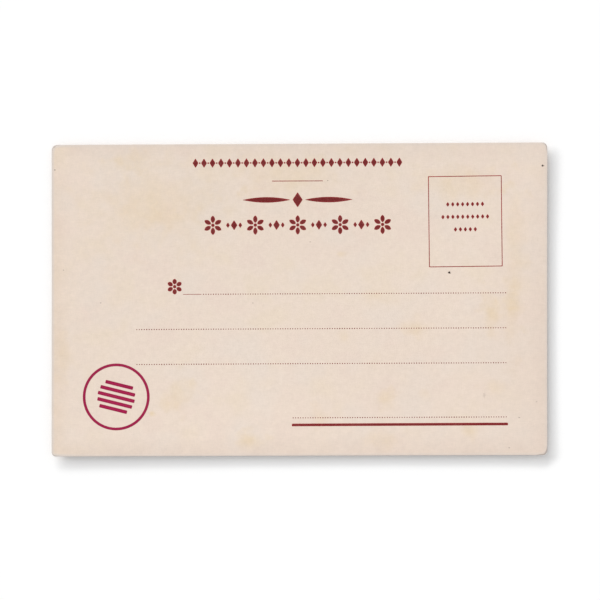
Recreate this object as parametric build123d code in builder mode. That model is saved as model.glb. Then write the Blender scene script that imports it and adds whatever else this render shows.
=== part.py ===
"""An old postcard, address side up: three sheets of paper pasted into one stiff card,
with the letterpress print and a handstamp as films of ink on the address sheet.

The card lies flat. +X runs along its length, +Y towards its top edge and +Z out of the address side.
The origin is at the middle of the underside.
"""

import math
import os

from build123d import *

# Card: the outline was trimmed a little out of square, and its corners are worn round
card_length = 140.0
card_height = 88.7
top_trim_rise = 0.7  # right end of the top edge above its left end
bottom_trim_rise = 0.4
top_left_radius = 1.5
top_right_radius = 1.4
bottom_left_radius = 1.1
bottom_right_radius = 1.3
worn_edge = 0.03

# Sheets, from the underside up
message_sheet_thickness = 0.10
core_board_thickness = 0.18
address_sheet_thickness = 0.10
paste_thickness = 0.01

# Ink
print_film = 0.02
handstamp_film = 0.015

# Heading, stacked downwards from the top edge
heading_margin = 4.05
heading_shift = -0.4  # the heading stands a little left of the middle
border_side_margin = 39.0
border_pitch = 2.4
border_lozenge_width = 1.6
border_lozenge_height = 2.6
border_spacer_size = 0.55
hairline_gap = 3.85
hairline_length = 14.4
hairline_weight = 0.14
swelled_rule_gap = 3.2
swelled_rule_length = 31.0
swelled_rule_weight = 1.5
swelled_rule_lozenge_width = 2.8
swelled_rule_lozenge_height = 4.2
swelled_rule_lozenge_gap = 0.7
rosette_gap = 2.3
rosette_gutter = 8.0  # least clear width between the rosettes and the stamp frame
rosette_pitch = 12.0
rosette_size = 5.4
rosette_petal_count = 6
rosette_eye_size = 1.0
rosette_petal_gap = 0.16
rosette_petal_width = 1.15
rosette_lozenge_width = 1.8
rosette_lozenge_height = 2.8
rosette_side_lozenge_width = 1.0
rosette_side_lozenge_height = 1.5
rosette_side_lozenge_gap = 0.35

# Stamp frame, and the rows of lozenges inside it
stamp_right_margin = 12.75
stamp_top_margin = 9.4
stamp_width = 20.55
stamp_height = 25.5
stamp_line_weight = 0.16
stamp_skew = 0.45  # degrees that the frame stands askew in the print
stamp_row_counts = (8, 10, 5)
stamp_row_pitch = 3.55
stamp_row_drop = 7.9  # first row below the frame's top line
stamp_lozenge_pitch = 1.4
stamp_lozenge_width = 0.9
stamp_lozenge_height = 1.3

# Address lines: leaders of small square dots
print_right_margin = 11.3
leader_inset = 0.45  # last dot inside the print's right margin
leader_indent = 23.5
leader_count = 3
dot_pitch = 0.7
dot_size = 0.24
address_gap = 7.5
address_mark_indent = 34.7
address_mark_size = 4.4
lead_line_gap = 0.1
lead_line_length = 5.3
lead_line_weight = 0.1
handstamp_clearance = 0.4  # a dot closer to the handstamp than this is left out

# Destination line: a leader over a heavy rule
destination_margin = 8.68
destination_rule_length = 61.0
destination_rule_weight = 0.7
destination_leader_rise = 2.0
destination_gap = 15.3

# Handstamp: a ring round a grid of bars
handstamp_left_margin = 8.8
handstamp_bottom_margin = 7.2
handstamp_radius = 9.05
handstamp_line_weight = 0.72
handstamp_tilt = -14.0
bars_radius = 5.3
bar_count = 5
bar_pitch = 1.75
bar_weight = 0.95

# Levels of the sheets, and the plane of the print, which is square with the top edge
lower_paste_level = message_sheet_thickness
core_level = lower_paste_level + paste_thickness
upper_paste_level = core_level + core_board_thickness
address_level = upper_paste_level + paste_thickness
print_level = address_level + address_sheet_thickness

print_skew = math.degrees(math.atan2(top_trim_rise, card_length))
print_plane = Plane.XY.offset(print_level).rotated((0, 0, print_skew))
top_edge = (card_height - top_trim_rise) / 2
bottom_edge = (bottom_trim_rise - card_height) / 2
right_edge = card_length / 2

# Places of the heading in the print
border_y = top_edge - heading_margin - border_lozenge_height / 2
hairline_y = border_y - border_lozenge_height / 2 - hairline_gap
swelled_rule_y = hairline_y - swelled_rule_gap - swelled_rule_lozenge_height / 2
rosette_y = swelled_rule_y - swelled_rule_lozenge_height / 2 - rosette_gap - rosette_size / 2

# Places of the stamp frame, the leaders and the rule in the print
stamp_x = right_edge - stamp_right_margin - stamp_width / 2
stamp_y = top_edge - stamp_top_margin - stamp_height / 2
stamp_left = stamp_x - stamp_width / 2
rule_end = right_edge - print_right_margin
leader_end = rule_end - leader_inset
leader_start = leader_indent - right_edge
rule_y = bottom_edge + destination_margin
rule_x = rule_end - destination_rule_length / 2
destination_y = rule_y + destination_leader_rise
first_leader_y = min(stamp_y - stamp_height / 2, rosette_y - rosette_size / 2) - address_gap
last_leader_y = destination_y + destination_gap
leader_pitch = (first_leader_y - last_leader_y) / (leader_count - 1)
address_mark_x = address_mark_indent - right_edge
address_mark_y = first_leader_y + address_mark_size / 2
lead_line_start = address_mark_x + address_mark_size / 2 + lead_line_gap

# Place of the handstamp, struck by hand and so square with nothing
handstamp_outer_radius = handstamp_radius + handstamp_line_weight / 2
handstamp_x = handstamp_left_margin + handstamp_outer_radius - right_edge
handstamp_y = bottom_edge + handstamp_bottom_margin + handstamp_outer_radius
handstamp_plane = Plane((handstamp_x, handstamp_y, print_level)).rotated((0, 0, handstamp_tilt))

os.makedirs("parts", exist_ok=True)


def save(piece, name):
    """Labels a finished piece and writes it under that name."""
    piece.label = name
    export_step(piece, f"parts/{name}.step")


def sheet(level, thickness):
    """One sheet of the card at its level: the trimmed outline with its four worn corners."""
    left, low, high = -right_edge, -card_height / 2, card_height / 2
    corners = {
        (left, low): bottom_left_radius,
        (right_edge, low + bottom_trim_rise): bottom_right_radius,
        (right_edge, high): top_right_radius,
        (left, high - top_trim_rise): top_left_radius,
    }
    with BuildPart() as ply:
        with BuildSketch(Plane.XY.offset(level)) as outline:
            with BuildLine():
                Polyline(*corners, close=True)
            make_face()
            for corner, radius in corners.items():
                fillet(outline.vertices().sort_by_distance(Vector(*corner))[0], radius)
        extrude(amount=thickness)
    return ply.part


def lozenge(width, height):
    """A diamond that stands on its point."""
    with BuildSketch() as diamond:
        Polygon((-width / 2, 0), (0, -height / 2), (width / 2, 0), (0, height / 2))
    return diamond.sketch


def spindle(start, end, width):
    """A mark along X, pointed at both ends and widest in the middle."""
    with BuildSketch() as mark:
        with BuildLine():
            SagittaArc((start, 0), (end, 0), width / 2)
            SagittaArc((start, 0), (end, 0), -width / 2)
        make_face()
    return mark.sketch


def rosette(size):
    """A printer's flower: an eye with a point to each petal, and a ring of petals with one upright."""
    petal_start = rosette_eye_size / 2 + rosette_petal_gap
    petal = spindle(petal_start, size / 2, rosette_petal_width)
    upright = 90
    with BuildSketch() as flower:
        RegularPolygon(rosette_eye_size / 2, rosette_petal_count, rotation=upright)
        with PolarLocations(0, rosette_petal_count, start_angle=upright):
            add(petal)
    return flower.sketch


def leader(start, end, y):
    """A row of square dots in the print, without those that the handstamp would strike."""
    count = int((end - start) / dot_pitch) + 1
    places = [print_plane.from_local_coords((end - i * dot_pitch, y, 0)) for i in range(count)]
    struck = handstamp_outer_radius + handstamp_clearance
    kept = [p for p in places if (p - handstamp_plane.origin).length > struck]
    with BuildPart() as dots:
        with BuildSketch(print_plane):
            with Locations(*[print_plane.to_local_coords(p) for p in kept]):
                Rectangle(dot_size, dot_size)
        extrude(amount=print_film)
    return dots.part


# Message sheet: the underside, with its lower edge worn
underside_ply = sheet(0, message_sheet_thickness)
with BuildPart() as message_sheet:
    add(underside_ply)
    chamfer(message_sheet.edges().group_by(Axis.Z)[0], worn_edge)
save(message_sheet.part, "message_sheet")

# Core board between two films of paste
save(sheet(lower_paste_level, paste_thickness), "lower_paste_film")
save(sheet(core_level, core_board_thickness), "core_board")
save(sheet(upper_paste_level, paste_thickness), "upper_paste_film")

# Address sheet: the side that is printed, with its upper edge worn
address_ply = sheet(address_level, address_sheet_thickness)
with BuildPart() as address_sheet:
    add(address_ply)
    chamfer(address_sheet.edges().group_by(Axis.Z)[-1], worn_edge)
save(address_sheet.part, "address_sheet")

# Heading border: lozenges with a small one between each two
border_reach = int((right_edge - border_side_margin) / border_pitch)
with BuildPart() as heading_border:
    with BuildSketch(print_plane):
        with Locations((heading_shift, border_y)):
            with GridLocations(border_pitch, 0, 2 * border_reach + 1, 1):
                add(lozenge(border_lozenge_width, border_lozenge_height))
            with GridLocations(border_pitch, 0, 2 * border_reach, 1):
                add(lozenge(border_spacer_size, border_spacer_size))
    extrude(amount=print_film)
save(heading_border.part, "heading_border")

# Heading hairline
with BuildPart() as heading_hairline:
    with BuildSketch(print_plane):
        with Locations((heading_shift, hairline_y)):
            Rectangle(hairline_length, hairline_weight)
    extrude(amount=print_film)
save(heading_hairline.part, "heading_hairline")

# Swelled rule: a lozenge between two spindles
arm_start = swelled_rule_lozenge_width / 2 + swelled_rule_lozenge_gap
with BuildPart() as heading_swelled_rule:
    with BuildSketch(print_plane):
        with Locations((heading_shift, swelled_rule_y)):
            add(lozenge(swelled_rule_lozenge_width, swelled_rule_lozenge_height))
            with PolarLocations(0, 2):
                add(spindle(arm_start, swelled_rule_length / 2, swelled_rule_weight))
    extrude(amount=print_film)
save(heading_swelled_rule.part, "heading_swelled_rule")

# Row of rosettes with three lozenges between each two, as many as clear the stamp frame
rosette_reach = int((stamp_left - rosette_gutter - rosette_size / 2) / rosette_pitch)
side_lozenge_offset = (rosette_lozenge_width + rosette_side_lozenge_width) / 2 + rosette_side_lozenge_gap
with BuildPart() as heading_rosettes:
    with BuildSketch(print_plane):
        with Locations((heading_shift, rosette_y)):
            with GridLocations(rosette_pitch, 0, 2 * rosette_reach + 1, 1):
                add(rosette(rosette_size))
            with GridLocations(rosette_pitch, 0, 2 * rosette_reach, 1):
                add(lozenge(rosette_lozenge_width, rosette_lozenge_height))
                with GridLocations(2 * side_lozenge_offset, 0, 2, 1):
                    add(lozenge(rosette_side_lozenge_width, rosette_side_lozenge_height))
    extrude(amount=print_film)
save(heading_rosettes.part, "heading_rosettes")

# Stamp frame: one thin line round the place for the stamp
stamp_centre = print_plane.from_local_coords((stamp_x, stamp_y, 0))
stamp_plane = Plane(stamp_centre).rotated((0, 0, print_skew + stamp_skew))
with BuildPart() as stamp_frame:
    with BuildSketch(stamp_plane):
        Rectangle(stamp_width + stamp_line_weight, stamp_height + stamp_line_weight)
        Rectangle(stamp_width - stamp_line_weight, stamp_height - stamp_line_weight, mode=Mode.SUBTRACT)
    extrude(amount=print_film)
save(stamp_frame.part, "stamp_frame")

# Rows of small lozenges in the stamp frame
with BuildPart() as stamp_place_ornament:
    with BuildSketch(stamp_plane):
        for row, count in enumerate(stamp_row_counts):
            with Locations((0, stamp_height / 2 - stamp_row_drop - row * stamp_row_pitch)):
                with GridLocations(stamp_lozenge_pitch, 0, count, 1):
                    add(lozenge(stamp_lozenge_width, stamp_lozenge_height))
    extrude(amount=print_film)
save(stamp_place_ornament.part, "stamp_place_ornament")

# Address mark: a rosette that stands on the first line, and the lead line after it
with BuildPart() as address_mark:
    with BuildSketch(print_plane):
        with Locations((address_mark_x, address_mark_y)):
            add(rosette(address_mark_size))
    extrude(amount=print_film)
save(address_mark.part, "address_mark")

with BuildPart() as address_lead_line:
    with BuildSketch(print_plane):
        with Locations((lead_line_start, first_leader_y)):
            Rectangle(lead_line_length, lead_line_weight, align=(Align.MIN, Align.CENTER))
    extrude(amount=print_film)
save(address_lead_line.part, "address_lead_line")

# Address lines: the first starts after its lead line, the others at the indent
for line in range(leader_count):
    start = leader_start if line else lead_line_start + lead_line_length + dot_pitch / 2
    save(leader(start, leader_end, first_leader_y - line * leader_pitch), f"address_line_{line + 1}")

# Destination line and the heavy rule under it
save(leader(rule_end - destination_rule_length, leader_end, destination_y), "destination_line")
with BuildPart() as destination_rule:
    with BuildSketch(print_plane):
        with Locations((rule_x, rule_y)):
            Rectangle(destination_rule_length, destination_rule_weight)
    extrude(amount=print_film)
save(destination_rule.part, "destination_rule")

# Handstamp ring
with BuildPart() as handstamp_ring:
    with BuildSketch(handstamp_plane):
        Circle(handstamp_outer_radius)
        Circle(handstamp_outer_radius - handstamp_line_weight, mode=Mode.SUBTRACT)
    extrude(amount=handstamp_film)
save(handstamp_ring.part, "handstamp_ring")

# Handstamp bars, each as long as the circle round them allows
with BuildPart() as handstamp_bars:
    with BuildSketch(handstamp_plane):
        for bar in range(bar_count):
            bar_y = (bar - (bar_count - 1) / 2) * bar_pitch
            with Locations((0, bar_y)):
                Rectangle(2 * math.sqrt(bars_radius**2 - bar_y**2), bar_weight)
    extrude(amount=handstamp_film)
save(handstamp_bars.part, "handstamp_bars")
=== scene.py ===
import math
from collections import namedtuple

import bmesh
import bpy
import numpy as np
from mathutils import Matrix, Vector, noise
from mathutils.geometry import delaunay_2d_cdt


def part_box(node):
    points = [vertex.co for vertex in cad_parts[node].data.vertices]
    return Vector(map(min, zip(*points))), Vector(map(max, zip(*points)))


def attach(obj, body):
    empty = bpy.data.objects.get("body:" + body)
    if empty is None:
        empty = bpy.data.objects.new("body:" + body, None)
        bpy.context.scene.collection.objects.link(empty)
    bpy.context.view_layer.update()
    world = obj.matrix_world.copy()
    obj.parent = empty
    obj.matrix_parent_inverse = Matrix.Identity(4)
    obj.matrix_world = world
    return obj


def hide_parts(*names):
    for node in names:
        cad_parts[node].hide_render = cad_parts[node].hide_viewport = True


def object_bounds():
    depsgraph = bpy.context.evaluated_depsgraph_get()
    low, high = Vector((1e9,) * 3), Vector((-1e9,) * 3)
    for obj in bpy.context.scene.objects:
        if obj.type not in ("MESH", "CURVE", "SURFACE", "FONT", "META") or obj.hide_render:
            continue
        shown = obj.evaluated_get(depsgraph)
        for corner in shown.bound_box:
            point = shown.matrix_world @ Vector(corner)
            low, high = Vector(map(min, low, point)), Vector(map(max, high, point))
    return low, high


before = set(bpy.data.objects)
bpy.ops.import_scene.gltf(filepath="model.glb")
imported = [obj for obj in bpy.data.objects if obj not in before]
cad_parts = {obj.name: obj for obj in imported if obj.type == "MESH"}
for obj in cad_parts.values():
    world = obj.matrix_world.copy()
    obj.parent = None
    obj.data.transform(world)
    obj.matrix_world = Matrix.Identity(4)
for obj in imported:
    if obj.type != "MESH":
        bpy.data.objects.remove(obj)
cad_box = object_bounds()

MM = 0.001

# Noise in a shader: size of its bumps, octaves of detail, seed, stretch along each axis and turn in radians
Grain = namedtuple("Grain", "size detail seed stretch turn", defaults=((1, 1, 1), 0.0))
# A result that goes from at_low to at_high while a value goes from low to high
Grade = namedtuple("Grade", "low high at_low at_high", defaults=(0.0, 1.0))
# Noise in a mesh: how far it swings to each side, size of its bumps, and seed
Ripple = namedtuple("Ripple", "swing size seed", defaults=(0,))
# A surface: its roughness as a number or a grade of its relief, the relief's depth and strength, its shine
Surface = namedtuple("Surface", "roughness depth strength shine")
# An ink: its two colours, the share of the dark one from the outline inwards, how much paper shows through
# where it lies thin, its seed, and the pale colour of its outline where it bleeds into the paper
Ink = namedtuple("Ink", "name dark bright body thin_cover seed halo", defaults=(None,))

# The photograph: its width, its scale on the card, and the pixel of the card's middle
PHOTO_PIXELS = 600
PIXELS_PER_MM = 3.533
MIDDLE_PIXEL = (299.5, 299.45)
LENS = 100.0
SENSOR = 36.0

# The card's bow: its ends and long edges stand off the table, and two corners are bent
LONG_BOW = 0.90 * MM
CROSS_BOW = 1.00 * MM
CORNER_EASE = 0.70 * MM
TWIST = 0.10 * MM
COCKLE = 0.015 * MM
COCKLE_LENGTH = 27.0 * MM
COCKLE_WAYS = ((1.0, 0.4), (-0.2, 0.7))  # the two ways in which it waves, in X and Y
CORNER_BENDS = (
    # side in X, side in Y, reach, height
    (1, -1, 8.0 * MM, 0.16 * MM),
    (-1, 1, 5.0 * MM, -0.12 * MM),
)
LIFT_SAMPLES = (281, 181)  # points along and across the card that are tried for its lowest one

# The meshes of the sheets
CELL = 2.2 * MM
EDGE_SPLIT = 5  # stretches of the edge beside each cell
GRID_INSET = 1.0 * MM
OUTLINE_STEP = 0.05 * MM
SHARP_ANGLE = 50.0  # degrees between two faces from which an edge stays sharp

# The cut edge: waves that all sheets share, and finer ones of each sheet's own
EDGE_ROUGHNESS = 0.035 * MM
SHARED_WAVES = Ripple(0.6, 4.0 * MM)
OWN_WAVES = Ripple(0.5, 1.2 * MM)

# The corners, counter-clockwise from the lower left, and how far the address sheet is worn back there
CORNERS = ((-1, -1), (1, -1), (1, 1), (-1, 1))
CORNER_WEAR = (0.20 * MM, 0.46 * MM, 0.34 * MM, 0.46 * MM)
CORNER_REACH = 1.7 * MM
WEAR_NOTCHES = Ripple(0.5, 0.7 * MM, 0.5)

# The sheets' edges as insets and depths from an outer face
WORN_EDGE = (
    (0.40 * MM, 0.0),
    (0.14 * MM, 0.0),
    (0.05 * MM, 0.003 * MM),
    (0.015 * MM, 0.015 * MM),
    (0.0, 0.04 * MM),
)
BULGE_INSET = 0.01 * MM
BULGE_DEPTH = 0.04 * MM
PASTE_INSET = 0.03 * MM

# The meshes of the ink
INK_STEP = 0.16 * MM
INK_CELL = 0.22 * MM
INK_CLEAR = INK_CELL / 3  # least distance of a point inside the ink from its outline
INK_SHOULDER = 0.10 * MM
INK_RIM = 0.55  # thickness at the outline, as a share of the full one
INK_SINK = 0.008 * MM
INK_SOFTENING = 0.5  # how far each point of an outline moves to the middle of its neighbours
INK_SPREAD = 0.03 * MM
LIGHT_SPREAD = 0.015 * MM
DYE_SPREAD = 0.05 * MM
INK_RAGGED = 0.025 * MM
INK_WAVES = (Ripple(1.0, 0.33 * MM), Ripple(0.5, 0.165 * MM, 7))

# Size at which the dots of a leader print, with weaker stretches and uneven single dots
DOT_GAIN = 1.02
DOT_STRETCHES = Ripple(0.22, 6.0 * MM, 40)
DOT_SINGLES = Ripple(0.18, 0.9 * MM, 41)

# Limits: points that count as one, the upright part of an upper face's normal, slack in a count of steps,
# and for the triangles of the ink, which are made in mm, the kind of result and its slack
SAME_POINT = 1e-5 * MM
UPWARD = 0.99
COUNT_SLACK = 1e-6
TRIANGLES_INSIDE = 1
TRIANGLE_SLACK = 1e-6

# Light: a white dome and one broad lamp from the upper left, made of a fan of soft suns (angles in degrees)
DOME = 0.65
LAMP_SHARE = 0.36
LAMP_FAN = (-30.0, -15.0, 0.0, 15.0, 30.0)
LAMP_FROM = 132.0
LAMP_HEIGHT = 20.0
LAMP_WIDTH = 10.0
RIGHT_ANGLE = 90.0
WHITE = (1.0, 1.0, 1.0, 1.0)

# The floor's side, in metres
FLOOR_SIZE = 6.0


def srgb(red, green, blue):
    """A colour as it is seen on a screen, from 0 to 255, as the linear colour that a shader takes."""
    def linear(value):
        # The curve of the sRGB standard
        value /= 255
        return value / 12.92 if value <= 0.04045 else ((value + 0.055) / 1.055) ** 2.4
    return linear(red), linear(green), linear(blue), 1.0


# Colours of the paper, the core and the paste
PAPER_CREAM = srgb(233, 216, 201)
PAPER_PINK = srgb(232, 214, 200)
PAPER_COOL = srgb(231, 216, 203)
PAPER_YELLOW = srgb(232, 215, 197)
PAPER_TAN = srgb(226, 205, 184)
PAPER_GREYED = srgb(222, 204, 190)
PAPER_STAIN = srgb(228, 205, 170)
# Grey of the rim: painted shade of the paper's rounded edge
PAPER_RIM_SHADE = srgb(213, 206, 201)
# Colour of the cut: partly soil, partly painted shade that keeps lamp-lit cut edges from glaring
EDGE_SOIL_AND_SHADE = srgb(176, 164, 153)
SPECK_BROWN = srgb(44, 30, 24)
CORE_BUFF = srgb(214, 203, 195)
CORE_DARK = srgb(196, 185, 177)
PASTE_BROWN = srgb(182, 166, 146)

# Patches of colour in the paper
PATCHES = Grain(9.0 * MM, 3, 3.1)
YELLOW_SHARE = Grade(0.52, 0.68)
PINK_SHARE = Grade(0.48, 0.34)
COOL_PATCHES = Grain(15.0 * MM, 2, 27.7)
COOL_SHARE = Grade(0.50, 0.66)
UNDERSIDE_SHIFT = 40.0  # added to the seeds, so that the underside has patches of its own

# Blotches in the stains, and notches in the outlines of stains and specks
BLOTCHES = Grain(4.0 * MM, 4, 21.4)
BLOTCH_SHARE = Grade(0.34, 0.66, 0.50, 1.0)
STAIN_NOTCHES = Grain(4.0 * MM, 2, 9.1)
SPECK_NOTCHES = Grain(0.25 * MM, 2, 9.1)
NOTCH_DEPTH = Grade(0.3, 0.7, 0.6, 1.6)
STAIN_SOFT = 1.0
SPECK_SOFT = 0.5

# Toning of the paper by distance from its edge, stronger at the bottom than at the top, and tan at the left
TONED_BAND = Grade(0.6 * MM, 5.5 * MM, 0.68, 0.0)
TONED_WANDER = Grain(5.0 * MM, 3, 12.4)
WANDER_SHARE = Grade(0.3, 0.7, 0.4, 1.0)
TONED_BOTTOM = 1.25
TONED_TOP = 0.60
LEFT_BAND = Grade(3.0 * MM, 9.0 * MM, 1.0, 0.0)

# Painted shade of the paper's rounded edge as a grey rim by distance from its edge, more at the left than
# elsewhere, and the soiled cut, partly painted shade
RIM_BAND = Grade(0.05 * MM, 0.90 * MM, 1.0, 0.0)
LEFT_RIM_SHADE = 0.85
OTHER_RIM_SHADE = 0.40
CUT_BAND = Grade(0.0, 0.05 * MM, 0.8, 0.0)

# Clouds, fibre and tooth of the paper, and how they darken or lighten it
CLOUDS = Grain(1.7 * MM, 3, 8.7)
CLOUD_LIGHT = Grade(0.25, 0.75, 0.973, 1.027)
FIBRE_ALONG = Grain(0.5 * MM, 2, 1.9, (0.35, 1.6, 1.0), 0.5)
FIBRE_ACROSS = Grain(0.5 * MM, 2, 5.3, (1.5, 0.4, 1.0), 0.2)
FIBRE_LIGHT = Grade(0.6, 1.4, 0.966, 1.034)
TOOTH = Grain(0.11 * MM, 3, 14.2)
TOOTH_LIGHT = Grade(0.3, 0.7, 0.975, 1.025)
PAPER_SURFACE = Surface(0.88, 0.010 * MM, 0.25, 0.25)

# Core and paste, which show only at the cut edge
CORE_FIBRE = Grain(0.12 * MM, 3, 2.2, (1.0, 1.0, 4.0))
CORE_SHARE = Grade(0.3, 0.7)
CORE_SURFACE = Surface(0.9, 0.02 * MM, 0.5, 0.2)
PASTE_PATCHES = Grain(1.5 * MM, 3, 6.6)
PASTE_SHARE = Grade(0.35, 0.65)
PASTE_SURFACE = Surface(0.7, 0.004 * MM, 0.3, 0.3)

# The inks: for solid ornaments, for thin lines, for the dots of leaders and for the handstamp
PRINT_INK = Ink(
    "printing_ink", srgb(96, 27, 28), srgb(167, 42, 46), Grade(0.0, 0.30 * MM, 0.20, 0.85), 0.25, 17.3
)
LINE_INK = Ink(
    "fine_line_ink", srgb(122, 20, 22), srgb(180, 36, 40), Grade(0.0, 0.16 * MM, 0.75, 0.0), 0.25, 17.3
)
DOT_INK = Ink(
    "leader_ink", srgb(98, 20, 20), srgb(148, 36, 35), Grade(0.0, 0.16 * MM, 0.75, 0.0), 0.25, 17.3
)
STAMP_INK = Ink(
    "handstamp_ink", srgb(104, 14, 38), srgb(188, 16, 86), Grade(0.0, 0.80 * MM, 0.75, 0.0), 0.15, 31.9,
    srgb(236, 176, 180),
)

# How evenly all inks lie: heavier and lighter stretches, and small grains where they lie thin
PRESS = Grain(6.0 * MM, 2, 0.0)
PRESS_DARK = Grade(0.35, 0.65, 0.0, 0.5)
INK_GRAINS = Grain(0.16 * MM, 3, 4.4)
PRESS_ON_GRAINS = 0.3
THIN_FROM = 0.50
THIN_TO = 0.68
PAPER_IN_THIN = 0.25
HALO_BAND = Grade(0.0, 0.10 * MM, 0.75, 0.0)
INK_SURFACE = Surface(Grade(0.5, 0.8, 0.85, 0.7), 0.004 * MM, 0.2, 0.15)

# Marks on the card as X, Y, reach in X, reach in Y and strength, with places in mm: old damp stains,
# greyed parts at the right and bottom, partly grey from handling and partly painted shade, and dark specks
STAINS = (
    (-38.0, 27.0, 28.0, 18.0, 0.34),
    (-37.0, 23.0, 14.0, 4.5, 0.30),
    (-47.0, 39.0, 8.0, 5.0, 0.40),
    (-4.0, 35.0, 20.0, 9.0, 0.45),
    (46.0, 33.0, 18.0, 8.0, 0.45),
    (54.5, -3.5, 4.5, 9.0, 0.70),
    (60.0, -2.0, 4.0, 15.0, 0.55),
    (61.0, 14.0, 5.0, 30.0, 0.45),
    (32.0, -8.0, 7.0, 4.0, 0.50),
    (22.0, 1.0, 4.0, 3.0, 0.45),
    (-34.0, -27.0, 7.0, 7.0, 0.55),
    (-41.8, -32.3, 1.6, 1.6, 0.80),
    (-14.0, -40.0, 6.0, 4.0, 0.75),
    (24.0, -28.0, 4.0, 4.0, 0.70),
    (24.0, -40.0, 7.0, 5.0, 0.65),
    (48.0, -37.3, 4.5, 3.2, 0.55),
    (55.0, -24.5, 5.0, 4.0, 0.40),
    (35.2, -26.6, 3.0, 2.5, 0.40),
    (5.5, -33.5, 3.5, 4.5, 0.40),
    (11.9, 13.0, 3.0, 1.6, 0.45),
    (12.6, -10.5, 3.0, 2.5, 0.35),
    (-67.0, -15.0, 4.0, 9.0, 0.45),
)
# Greyed parts: partly grey from handling, partly painted shade that evens out the brighter lower right of
# the bowed card
HANDLED_AND_SHADED = (
    (72.0, -14.0, 30.0, 62.0, 0.45),
    (20.0, -50.0, 110.0, 18.0, 0.32),
    (28.0, -24.0, 48.0, 34.0, 0.20),
)
SPECKS = (
    (68.67, 37.77, 0.41, 0.38, 1.0),
    (42.37, 7.62, 0.48, 0.46, 1.0),
    (-69.1, 36.6, 0.22, 0.20, 0.6),
    (62.1, -33.4, 0.28, 0.20, 0.45),
    (59.2, -41.9, 0.28, 0.20, 0.45),
    (67.0, -28.9, 0.30, 0.18, 0.25),
    (52.2, -27.1, 0.50, 0.95, 0.15),
    (8.0, 33.6, 0.22, 0.18, 0.6),
    (-66.7, 8.3, 0.28, 0.22, 0.30),
    (-56.2, -1.0, 0.28, 0.24, 0.30),
    (-13.2, -1.0, 0.30, 0.26, 0.30),
    (3.0, 16.3, 0.26, 0.22, 0.35),
)

# Which nodes each ink prints, and the first seed of each group
PRINTED = (
    "heading_border", "heading_hairline", "heading_swelled_rule", "heading_rosettes", "stamp_frame",
    "stamp_place_ornament", "address_mark", "address_lead_line", "destination_rule",
)
FINE_LINES = ("heading_hairline", "stamp_frame", "address_lead_line")
LIGHTLY_PRINTED = ("address_lead_line",)
LEADERS = ("address_line_1", "address_line_2", "address_line_3", "destination_line")
STAMPED = ("handstamp_ring", "handstamp_bars")
SHEET_SEED = 1
PRINT_SEED = 10
LEADER_SEED = 30
STAMP_SEED = 50

# Places of the colour sockets on a node that mixes: factor, first, second, and the result
MIX_INPUTS = (0, 6, 7)
MIX_RESULT = 2


# Shape of the card

card_low, card_high = cad_box
half_length = (card_high.x - card_low.x) / 2
half_height = (card_high.y - card_low.y) / 2


def raw_lift(x, y):
    """The bow, cockle and bent corners of the card, before it is set down on the table."""
    u, v = x / half_length, y / half_height
    lift = LONG_BOW * u**2 + CROSS_BOW * v**2 - CORNER_EASE * u**2 * v**2 + TWIST * u * v
    first, second = [2 * math.pi / COCKLE_LENGTH * (way_x * x + way_y * y) for way_x, way_y in COCKLE_WAYS]
    lift = lift + COCKLE * np.sin(first) * np.cos(second)
    for side_x, side_y, reach, height in CORNER_BENDS:
        away = np.hypot(x - side_x * half_length, y - side_y * half_height)
        lift = lift + height * np.clip(1 - away / reach, 0, 1) ** 2
    return lift


lowest_lift = raw_lift(
    *np.meshgrid(
        np.linspace(-half_length, half_length, LIFT_SAMPLES[0]),
        np.linspace(-half_height, half_height, LIFT_SAMPLES[1]),
    )
).min()


def lift(x, y):
    """How far the card's old bow raises a point of it, in metres."""
    return raw_lift(x, y) - lowest_lift


# Outlines


def ripple(points, kind, seed=0):
    """Smooth noise at points in XY, within its swing to each side."""
    places = [Vector((x / kind.size, y / kind.size, kind.seed + seed)) for x, y in points]
    return kind.swing * np.array([noise.noise(place) for place in places])


def outlines(node):
    """The closed outlines of a CAD node's upper faces: outer ones counter-clockwise, holes clockwise."""
    made = bmesh.new()
    made.from_mesh(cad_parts[node].data)
    bmesh.ops.remove_doubles(made, verts=made.verts, dist=SAME_POINT)
    upper = {face.index for face in made.faces if face.normal.z > UPWARD}
    following = {}
    for face in made.faces:
        if face.index not in upper:
            continue
        for corner in face.loops:
            if corner.link_loop_radial_next.face.index not in upper:
                following[corner.vert.index] = corner.link_loop_next.vert.index
    places = [vertex.co.xy for vertex in made.verts]
    loops = []
    while following:
        start = at = next(iter(following))
        loop = []
        while at in following:
            loop.append(places[at])
            at = following.pop(at)
        if at != start:
            raise ValueError(f"an outline of {node} isn't closed")
        loops.append(np.array(loop, float))
    made.free()
    return loops


def refined(loop, step):
    """The loop with points added, so that no stretch is longer than step."""
    points = []
    for a, b in zip(loop, np.roll(loop, -1, 0)):
        count = max(1, math.ceil(np.linalg.norm(b - a) / step - COUNT_SLACK))
        points += [a + (b - a) * i / count for i in range(count)]
    return np.array(points)


def outward(loop):
    """The unit normals of a counter-clockwise loop, pointing out of it."""
    along = np.roll(loop, -1, 0) - np.roll(loop, 1, 0)
    along /= np.linalg.norm(along, axis=1)[:, None]
    return np.column_stack((along[:, 1], -along[:, 0]))


def to_outline(points, loops):
    """The distance of each point to the nearest point of the loops."""
    rims = np.concatenate(loops)
    return np.array([np.min(np.hypot(*(rims - point).T)) for point in points])


def inside(points, loops):
    """Which points lie inside an odd number of the loops."""
    odd = np.zeros(len(points), bool)
    for loop in loops:
        for (x1, y1), (x2, y2) in zip(loop, np.roll(loop, -1, 0)):
            crosses = (y1 > points[:, 1]) != (y2 > points[:, 1])
            if crosses.any():
                at = x1 + (points[:, 1] - y1) * (x2 - x1) / (y2 - y1)
                odd ^= crosses & (points[:, 0] < at)
    return odd


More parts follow.
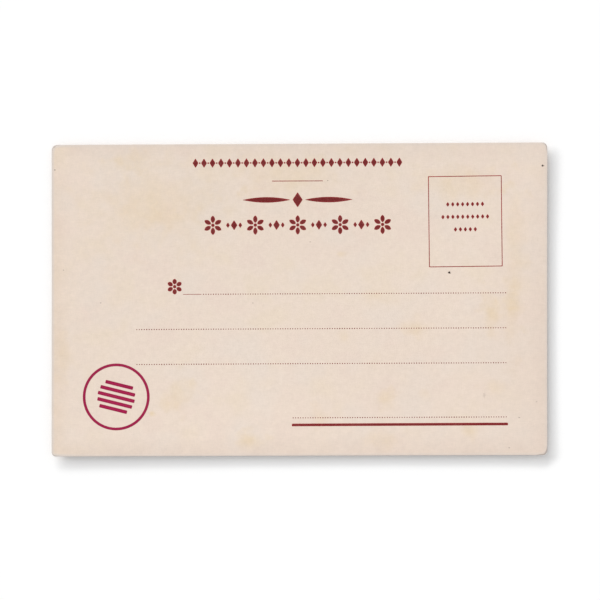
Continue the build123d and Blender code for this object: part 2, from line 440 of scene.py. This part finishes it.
def new_piece(name, vertices, faces, material, slot, node, **values):
    """Makes a mesh piece that stands for a CAD node, with one named number per vertex for each keyword."""
    mesh = bpy.data.meshes.new(name)
    mesh.from_pydata([tuple(vertex) for vertex in vertices], [], faces)
    for key, numbers in values.items():
        attribute = mesh.attributes.new(key, "FLOAT", "POINT")
        attribute.data.foreach_set("value", np.asarray(numbers, np.float32))
    mesh.shade_smooth()
    mesh.set_sharp_from_angle(angle=math.radians(SHARP_ANGLE))
    mesh.materials.append(material)
    piece = bpy.data.objects.new(name, mesh)
    bpy.context.scene.collection.objects.link(piece)
    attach(piece, "root")
    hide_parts(node)


# The sheets


def card_ring(columns, rows):
    """The card's outline as a fine ring from its lower left corner, for a grid of so many cells."""
    loop = refined(outlines("core_board")[0], OUTLINE_STEP)
    corners = [int(np.argmax(loop @ np.array(corner))) for corner in CORNERS]
    ring = []
    for start, end, cells in zip(corners, corners[1:] + corners[:1], (columns, rows, columns, rows)):
        stop = end + 1 if end > start else end + 1 + len(loop)
        side = loop[np.arange(start, stop) % len(loop)]
        length = np.concatenate(([0], np.cumsum(np.linalg.norm(np.diff(side, axis=0), axis=1))))
        at = np.linspace(0, length[-1], cells * EDGE_SPLIT + 1)[:-1]
        ring.append(np.column_stack([np.interp(at, length, side[:, i]) for i in (0, 1)]))
    return np.concatenate(ring)


def coons_grid(ring, columns, rows):
    """The points of a grid spanned between the four sides of a coarse ring, row by row."""
    low = ring[: columns + 1]
    right = ring[columns : columns + rows + 1]
    high = ring[columns + rows : 2 * columns + rows + 1][::-1]
    left = np.concatenate((ring[2 * columns + rows :], ring[:1]))[::-1]
    u = np.linspace(0, 1, columns + 1)[None, :, None]
    v = np.linspace(0, 1, rows + 1)[:, None, None]
    across = (1 - v) * low[None] + v * high[None]
    upright = (1 - u) * left[:, None] + u * right[:, None]
    corners = (1 - v) * ((1 - u) * low[0] + u * low[-1]) + v * ((1 - u) * high[0] + u * high[-1])
    return (across + upright - corners).reshape(-1, 2)


def grid_rim(columns, rows):
    """The places of a grid's rim in its list of points, counter-clockwise from the lower left."""
    index = np.arange((columns + 1) * (rows + 1)).reshape(rows + 1, columns + 1)
    return np.concatenate((index[0, :-1], index[:-1, -1], index[-1, :0:-1], index[:0:-1, 0]))


def rough_edge(ring, seed, wear):
    """How far each point of a sheet's cut edge stands out, less what is worn off at the corners."""
    worn = np.zeros(len(ring))
    for corner, depth in zip(CORNERS, CORNER_WEAR):
        middle = ring[np.argmax(ring @ np.array(corner))]
        away = np.hypot(*(ring - middle).T)
        worn += depth * np.exp(-((away / CORNER_REACH) ** 2))
    rough = EDGE_ROUGHNESS * (ripple(ring, SHARED_WAVES) + ripple(ring, OWN_WAVES, seed))
    return rough - wear * worn * (1 + ripple(ring, WEAR_NOTCHES, seed))


def sheet_faces(columns, rows, levels):
    """The faces of a sheet whose points are a grid, the rings of its edge from the top down, and a grid."""
    rim = grid_rim(columns, rows)
    count = len(rim) * EDGE_SPLIT
    starts = (columns + 1) * (rows + 1) + count * np.arange(levels + 1)
    foot = starts[-1]
    around = np.array((0, 1, columns + 2, columns + 1))
    cells = [j * (columns + 1) + i + around for j in range(rows) for i in range(columns)]
    strips = []
    for i in range(len(rim)):
        run = (i * EDGE_SPLIT + np.arange(EDGE_SPLIT + 1)) % count
        strips.append((rim[i], rim[(i + 1) % len(rim)], run))

    faces = list(cells)
    faces += [(first, *(starts[0] + run), last) for first, last, run in strips]
    for upper, lower in zip(starts[:-2], starts[1:-1]):
        for i in range(count):
            j = (i + 1) % count
            faces.append((upper + i, lower + i, lower + j, upper + j))
    faces += [(foot + first, foot + last, *(starts[-2] + run[::-1])) for first, last, run in strips]
    faces += [foot + cell[::-1] for cell in cells]
    return [tuple(int(i) for i in face) for face in faces]


def sheet_piece(name, node, slot, material, profile, seed, wear):
    """One sheet of the card. profile is its edge from the upper face down, as pairs of inset and height.
    wear is the share of the corners' full wear that the sheet has."""
    columns = round(2 * half_length / CELL)
    rows = round(2 * half_height / CELL)
    ring = card_ring(columns, rows)
    normal = outward(ring)
    rough = rough_edge(ring, seed, wear)
    grid = coons_grid((ring - GRID_INSET * normal)[::EDGE_SPLIT], columns, rows)
    grid_edge = to_outline(grid, [ring])

    flat = [grid]
    height = [np.full(len(grid), profile[0][1])]
    edge = [grid_edge]
    for inset, level in profile:
        reach = rough * max(0, 1 - inset / GRID_INSET)
        flat.append(ring + (reach - inset)[:, None] * normal)
        height.append(np.full(len(ring), level))
        edge.append(np.full(len(ring), inset))
    flat.append(grid)
    height.append(np.full(len(grid), profile[-1][1]))
    edge.append(grid_edge)

    flat = np.concatenate(flat)
    height = np.concatenate(height) + lift(flat[:, 0], flat[:, 1])
    faces = sheet_faces(columns, rows, len(profile))
    vertices = np.column_stack((flat, height))
    new_piece(name, vertices, faces, material, slot, node, edge=np.concatenate(edge))


def worn_above(low, high):
    """The edge of the topmost sheet, with its upper side worn."""
    return [(inset, high - depth) for inset, depth in WORN_EDGE] + [(0.0, low)]


def worn_below(low, high):
    """The edge of the lowest sheet, with its lower side worn."""
    return [(0.0, high)] + [(inset, low + depth) for inset, depth in reversed(WORN_EDGE)]


def bulged(low, high):
    """The edge of the core, which swells a little between the other sheets."""
    return [(BULGE_INSET, high), (0.0, high - BULGE_DEPTH), (0.0, low + BULGE_DEPTH), (BULGE_INSET, low)]


def drawn_in(low, high):
    """The edge of a film of paste, which ends a little inside the sheets."""
    return [(PASTE_INSET, high), (PASTE_INSET, low)]


# The ink


def ragged(loop, seed, spread):
    """An outline as ink leaves it: spread, with its corners rounded a little and its line uneven."""
    loop = refined(loop, INK_STEP)
    between = (np.roll(loop, 1, 0) + np.roll(loop, -1, 0)) / 2
    loop = (1 - INK_SOFTENING) * loop + INK_SOFTENING * between
    uneven = sum(ripple(loop, waves, seed) for waves in INK_WAVES)
    return loop + (spread + INK_RAGGED * uneven)[:, None] * outward(loop)


def inner_points(loops):
    """A grid of points inside the loops and clear of their lines."""
    points = np.concatenate(loops)
    low, high = points.min(0), points.max(0)
    xs = np.arange(low[0] + INK_CELL / 2, high[0], INK_CELL)
    ys = np.arange(low[1] + INK_CELL / 2, high[1], INK_CELL)
    grid = np.array([(x, y) for y in ys for x in xs]).reshape(-1, 2)
    grid = grid[inside(grid, loops)]
    return grid[to_outline(grid, loops) > INK_CLEAR]


def film(loops, thickness):
    """A closed thin body of ink within the loops: its points, faces and how deep inside each point lies."""
    edges = []
    first = 0
    for loop in loops:
        edges += [(first + i, first + (i + 1) % len(loop)) for i in range(len(loop))]
        first += len(loop)
    asked = [Vector(point) / MM for point in np.concatenate((*loops, inner_points(loops)))]
    found, _, triangles, *_ = delaunay_2d_cdt(asked, edges, [], TRIANGLES_INSIDE, TRIANGLE_SLACK)
    flat = np.array(found) * MM
    triangles = np.array(triangles)
    triangles = triangles[inside(flat[triangles].mean(1), loops)].tolist()

    depth = to_outline(flat, loops)
    ground = lift(flat[:, 0], flat[:, 1])
    top = ground + thickness * (INK_RIM + (1 - INK_RIM) * np.clip(depth / INK_SHOULDER, 0, 1))
    upper = np.column_stack((flat, top))
    lower = np.column_stack((flat, ground - INK_SINK))
    half = len(flat)
    sides = {side for face in triangles for side in zip(face, face[1:] + face[:1])}
    faces = [tuple(face) for face in triangles]
    faces += [tuple(i + half for i in face[::-1]) for face in triangles]
    faces += [(b, a, a + half, b + half) for a, b in sides if (b, a) not in sides]
    return np.concatenate((upper, lower)), faces, np.concatenate((depth, depth))


def ink_piece(node, slot, material, seed, spread=INK_SPREAD, gain=None):
    """The ink of a CAD node: its outlines made ragged, as thick as the node and laid on the bowed card.
    gain gives a factor for the size of each outline from its middle."""
    low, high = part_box(node)
    loops = outlines(node)
    areas = [np.cross(loop, np.roll(loop, -1, 0)).sum() for loop in loops]
    groups = [loops] if min(areas) < 0 else [[loop] for loop in loops]
    vertices = []
    faces = []
    depth = []
    for group in groups:
        if gain:
            middle = group[0].mean(0)
            group = [middle + (loop - middle) * gain(middle) for loop in group]
        body, sides, deep = film([ragged(loop, seed, spread) for loop in group], high.z - low.z)
        body[:, 2] += low.z
        faces += [tuple(i + len(vertices) for i in face) for face in sides]
        vertices += list(body)
        depth += list(deep)
    new_piece(f"{node}_ink", vertices, faces, material, slot, node, depth=depth)


def dot_gain(middle):
    """How large a dot of a leader prints: evenly spread, with weaker stretches."""
    return DOT_GAIN + ripple([middle], DOT_STRETCHES)[0] + ripple([middle], DOT_SINGLES)[0]


# Materials


class Shader:
    """A material with short calls that add nodes to it."""

    def __init__(self, name):
        self.material = bpy.data.materials.new(name)
        self.material.use_nodes = True
        self.nodes = self.material.node_tree.nodes
        self.surface = self.nodes["Principled BSDF"]
        self.place = self.add("TexCoord").outputs["Object"]

    def feed(self, socket, value):
        """Sets a socket to a value, or links it to another node's output."""
        if isinstance(value, bpy.types.NodeSocket):
            self.material.node_tree.links.new(value, socket)
        else:
            socket.default_value = value

    def add(self, kind, inputs=(), **settings):
        """Adds a node with its settings and inputs."""
        made = self.nodes.new("ShaderNode" + kind)
        for key, value in settings.items():
            setattr(made, key, value)
        for key, value in dict(inputs).items():
            self.feed(made.inputs[key], value)
        return made

    def noise(self, grain, shift=0.0):
        """Noise from 0 to 1, with shift added to its seed."""
        seed = grain.seed + shift
        inputs = {
            "Vector": self.place,
            "Location": (seed, seed, seed),
            "Rotation": (0, 0, grain.turn),
            "Scale": grain.stretch,
        }
        moved = self.add("Mapping", inputs).outputs["Vector"]
        inputs = {"Vector": moved, "Scale": 1 / grain.size, "Detail": grain.detail}
        return self.add("TexNoise", inputs).outputs["Fac"]

    def ramp(self, value, grade, shape="LINEAR"):
        """A value taken through a grade and held at its ends, along a straight or smooth line."""
        inputs = {
            "Value": value,
            "From Min": grade.low,
            "From Max": grade.high,
            "To Min": grade.at_low,
            "To Max": grade.at_high,
        }
        return self.add("MapRange", inputs, interpolation_type=shape).outputs["Result"]

    def number(self, name):
        """A number that the mesh holds for each of its points."""
        return self.add("Attribute", attribute_name=name).outputs["Fac"]

    def math(self, operation, first, second):
        """Two values joined by one step of arithmetic."""
        return self.add("Math", {0: first, 1: second}, operation=operation).outputs["Value"]

    def mix(self, factor, first, second):
        """A colour between two others."""
        inputs = dict(zip(MIX_INPUTS, (factor, first, second)))
        return self.add("Mix", inputs, data_type="RGBA").outputs[MIX_RESULT]

    def spots(self, places, soft, notches=None):
        """The strength of marks at places given in mm: full within each one's reach less its soft share.
        notches is the noise that makes their outlines ragged."""
        total = 0.0
        notch = self.ramp(self.noise(notches), NOTCH_DEPTH) if notches else 1.0
        for x, y, reach_x, reach_y, strength in places:
            inputs = {
                "Vector": self.place,
                "Location": (-x / reach_x, -y / reach_y, 0),
                "Scale": (1 / (reach_x * MM), 1 / (reach_y * MM), 0),
            }
            moved = self.add("Mapping", inputs).outputs["Vector"]
            away = self.add("VectorMath", {"Vector": moved}, operation="LENGTH").outputs["Value"]
            away = self.math("MULTIPLY", away, notch)
            fade = Grade(1 - soft, 1.0, strength, 0.0)
            total = self.math("ADD", total, self.ramp(away, fade, "SMOOTHSTEP"))
        return total

    def along(self, axis):
        """The place along X, Y or Z, in metres."""
        return self.add("SeparateXYZ", {"Vector": self.place}).outputs[axis]

    def brighten(self, colour, factor):
        """A colour times a number."""
        inputs = {"Vector": colour, "Scale": factor}
        return self.add("VectorMath", inputs, operation="SCALE").outputs["Vector"]

    def finish(self, colour, height, kind):
        """Feeds the shader with a colour, a relief and the values of a kind of surface."""
        inputs = {"Height": height, "Distance": kind.depth, "Strength": kind.strength}
        bump = self.add("Bump", inputs).outputs["Normal"]
        rough = kind.roughness
        if isinstance(rough, Grade):
            rough = self.ramp(height, rough)
        self.feed(self.surface.inputs["Base Color"], colour)
        self.feed(self.surface.inputs["Roughness"], rough)
        self.feed(self.surface.inputs["Normal"], bump)
        self.feed(self.surface.inputs["Specular IOR Level"], kind.shine)
        return self.material


def paper_material(name, shift, stains=(), handled_and_shaded=(), specks=()):
    """Old uncoated paper: clouded, grained, damp-stained, toned towards its edges, and grey at its rim as
    painted shade of its rounded edge.
    """
    shader = Shader(name)
    patch = shader.noise(PATCHES, shift)
    colour = shader.mix(shader.ramp(patch, YELLOW_SHARE), PAPER_CREAM, PAPER_YELLOW)
    colour = shader.mix(shader.ramp(patch, PINK_SHARE), colour, PAPER_PINK)
    cool = shader.noise(COOL_PATCHES, shift)
    colour = shader.mix(shader.ramp(cool, COOL_SHARE), colour, PAPER_COOL)

    if stains:
        blotch = shader.ramp(shader.noise(BLOTCHES), BLOTCH_SHARE)
        stain = shader.math("MULTIPLY", shader.spots(stains, STAIN_SOFT, STAIN_NOTCHES), blotch)
        colour = shader.mix(stain, colour, PAPER_STAIN)
    # Greyed parts, partly from handling and partly painted shade
    if handled_and_shaded:
        colour = shader.mix(shader.spots(handled_and_shaded, STAIN_SOFT), colour, PAPER_GREYED)

    edge = shader.number("edge")
    wander = shader.ramp(shader.noise(TONED_WANDER), WANDER_SHARE)
    toned = shader.math("MULTIPLY", shader.ramp(edge, TONED_BAND), wander)
    upward = Grade(-half_height, half_height, TONED_BOTTOM, TONED_TOP)
    toned = shader.math("MULTIPLY", toned, shader.ramp(shader.along("Y"), upward))
    left = shader.ramp(shader.math("ADD", shader.along("X"), half_length), LEFT_BAND)
    colour = shader.mix(toned, colour, shader.mix(left, PAPER_GREYED, PAPER_TAN))
    # Painted shade: the rounded edge drawn as a grey rim, heavier at the left
    rim_shade = shader.ramp(left, Grade(0.0, 1.0, OTHER_RIM_SHADE, LEFT_RIM_SHADE))
    rim = shader.math("MULTIPLY", shader.ramp(edge, RIM_BAND), rim_shade)
    colour = shader.mix(rim, colour, PAPER_RIM_SHADE)
    # The cut, soiled and partly painted shade
    colour = shader.mix(shader.ramp(edge, CUT_BAND), colour, EDGE_SOIL_AND_SHADE)

    cloud = shader.ramp(shader.noise(CLOUDS), CLOUD_LIGHT)
    fibre = shader.math("ADD", shader.noise(FIBRE_ALONG), shader.noise(FIBRE_ACROSS))
    tooth = shader.noise(TOOTH, shift)
    grain = shader.math("MULTIPLY", shader.ramp(fibre, FIBRE_LIGHT), shader.ramp(tooth, TOOTH_LIGHT))
    colour = shader.brighten(colour, shader.math("MULTIPLY", cloud, grain))
    if specks:
        colour = shader.mix(shader.spots(specks, SPECK_SOFT, SPECK_NOTCHES), colour, SPECK_BROWN)
    return shader.finish(colour, shader.math("ADD", fibre, tooth), PAPER_SURFACE)


def core_material():
    """The grey-buff middle of the card, which shows only at its cut edge."""
    shader = Shader("core_board")
    fibre = shader.noise(CORE_FIBRE)
    colour = shader.mix(shader.ramp(fibre, CORE_SHARE), CORE_BUFF, CORE_DARK)
    return shader.finish(colour, fibre, CORE_SURFACE)


def paste_material():
    """Dried paste between the sheets, a thin darker line at the cut edge."""
    shader = Shader("dried_paste")
    uneven = shader.noise(PASTE_PATCHES)
    colour = shader.mix(shader.ramp(uneven, PASTE_SHARE), PASTE_BROWN, CORE_DARK)
    return shader.finish(colour, uneven, PASTE_SURFACE)


def ink_material(ink):
    """Matt ink, which lets a little of the paper through in small grains where it lies thin."""
    shader = Shader(ink.name)
    press = shader.noise(PRESS, ink.seed)
    depth = shader.number("depth")
    dark = shader.math("MAXIMUM", shader.ramp(depth, ink.body), shader.ramp(press, PRESS_DARK))
    colour = shader.mix(dark, ink.bright, ink.dark)
    grain = shader.noise(INK_GRAINS, ink.seed)
    grain = shader.math("ADD", grain, shader.math("MULTIPLY", press, PRESS_ON_GRAINS))
    thin = shader.ramp(grain, Grade(THIN_FROM, THIN_TO, ink.thin_cover, 0.0))
    colour = shader.mix(thin, colour, shader.mix(PAPER_IN_THIN, ink.bright, PAPER_PINK))
    if ink.halo:
        colour = shader.mix(shader.ramp(depth, HALO_BAND), colour, ink.halo)
    return shader.finish(colour, grain, INK_SURFACE)


def floor_material():
    """A plain white floor."""
    shader = Shader("white_floor")
    for key, value in {"Base Color": WHITE, "Roughness": 1.0, "Specular IOR Level": 0.0}.items():
        shader.feed(shader.surface.inputs[key], value)
    return shader.material


# Light and camera


def white_dome():
    """White light from all sides, seen as plain white by the camera, in mirrors and through clear things."""
    world = bpy.data.worlds.new("white_dome")
    world.use_nodes = True
    nodes = world.node_tree.nodes
    links = world.node_tree.links
    background = nodes["Background"]
    background.inputs["Color"].default_value = WHITE
    rays = nodes.new("ShaderNodeLightPath")
    seen = rays.outputs["Is Camera Ray"]
    for kind in ("Is Glossy Ray", "Is Transmission Ray"):
        either = nodes.new("ShaderNodeMath")
        either.operation = "MAXIMUM"
        links.new(seen, either.inputs[0])
        links.new(rays.outputs[kind], either.inputs[1])
        seen = either.outputs["Value"]
    strength = nodes.new("ShaderNodeMapRange")
    strength.inputs["To Min"].default_value = DOME
    strength.inputs["To Max"].default_value = 1.0
    links.new(seen, strength.inputs["Value"])
    links.new(strength.outputs["Result"], background.inputs["Strength"])
    return world


def soft_sun(name, turn):
    """One sun of the lamp's fan, turned about the upright axis from the lamp's middle."""
    sun = bpy.data.lights.new(name, "SUN")
    sun.energy = LAMP_SHARE / len(LAMP_FAN) * math.pi / math.sin(math.radians(LAMP_HEIGHT))
    sun.angle = math.radians(LAMP_WIDTH)
    lamp = bpy.data.objects.new(name, sun)
    tilt = math.radians(RIGHT_ANGLE - LAMP_HEIGHT)
    lamp.rotation_euler = (tilt, 0, math.radians(LAMP_FROM + turn + RIGHT_ANGLE))
    return lamp


def overhead_camera():
    """The photograph's view from straight above."""
    camera = bpy.data.objects.new("camera", bpy.data.cameras.new("camera"))
    camera.data.lens = LENS
    camera.data.sensor_width = SENSOR
    view_width = PHOTO_PIXELS / PIXELS_PER_MM * MM
    camera.location = (
        (PHOTO_PIXELS / 2 - MIDDLE_PIXEL[0]) / PIXELS_PER_MM * MM,
        (MIDDLE_PIXEL[1] - PHOTO_PIXELS / 2) / PIXELS_PER_MM * MM,
        card_high.z + view_width * LENS / SENSOR,
    )
    return camera


# The card, piece by piece

address_paper = paper_material("toned_paper", 0.0, STAINS, HANDLED_AND_SHADED, SPECKS)
message_paper = paper_material("toned_underside", UNDERSIDE_SHIFT, STAINS)
core = core_material()
paste = paste_material()
print_ink = ink_material(PRINT_INK)
line_ink = ink_material(LINE_INK)
dot_ink = ink_material(DOT_INK)
stamp_ink = ink_material(STAMP_INK)

SHEETS = (
    # node, ending of the piece's name, slot, material, edge, share of the corners' wear
    ("address_sheet", "paper", "sheet_paper", address_paper, worn_above, 1.0),
    ("message_sheet", "paper", "sheet_paper", message_paper, worn_below, 0.0),
    ("core_board", "paper", "core_paper", core, bulged, 0.12),
    ("upper_paste_film", "paste", "paste", paste, drawn_in, 0.8),
    ("lower_paste_film", "paste", "paste", paste, drawn_in, 0.05),
)
for seed, (node, ending, slot, material, edge, wear) in enumerate(SHEETS, SHEET_SEED):
    low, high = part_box(node)
    sheet_piece(f"{node}_{ending}", node, slot, material, edge(low.z, high.z), seed, wear)

for seed, node in enumerate(PRINTED, PRINT_SEED):
    ink = line_ink if node in FINE_LINES else print_ink
    spread = LIGHT_SPREAD if node in LIGHTLY_PRINTED else INK_SPREAD
    ink_piece(node, "printing_ink", ink, seed, spread)
for seed, node in enumerate(LEADERS, LEADER_SEED):
    ink_piece(node, "printing_ink", dot_ink, seed, gain=dot_gain)
for seed, node in enumerate(STAMPED, STAMP_SEED):
    ink_piece(node, "handstamp_ink", stamp_ink, seed, DYE_SPREAD)

# The stage

bpy.ops.mesh.primitive_plane_add(size=FLOOR_SIZE, location=(0, 0, card_low.z))
floor = bpy.context.object
floor.name = "floor"
floor.data.materials.append(floor_material())

scene = bpy.context.scene
scene.world = white_dome()
for number, turn in enumerate(LAMP_FAN):
    scene.collection.objects.link(soft_sun(f"broad_lamp_{number}", turn))
camera = overhead_camera()
scene.collection.objects.link(camera)
scene.camera = camera
scene.view_settings.view_transform = "Standard"
# The noise filter takes its guides as they are, so that dots of print smaller than a pixel stay apart
scene.cycles.denoising_prefilter = "NONE"
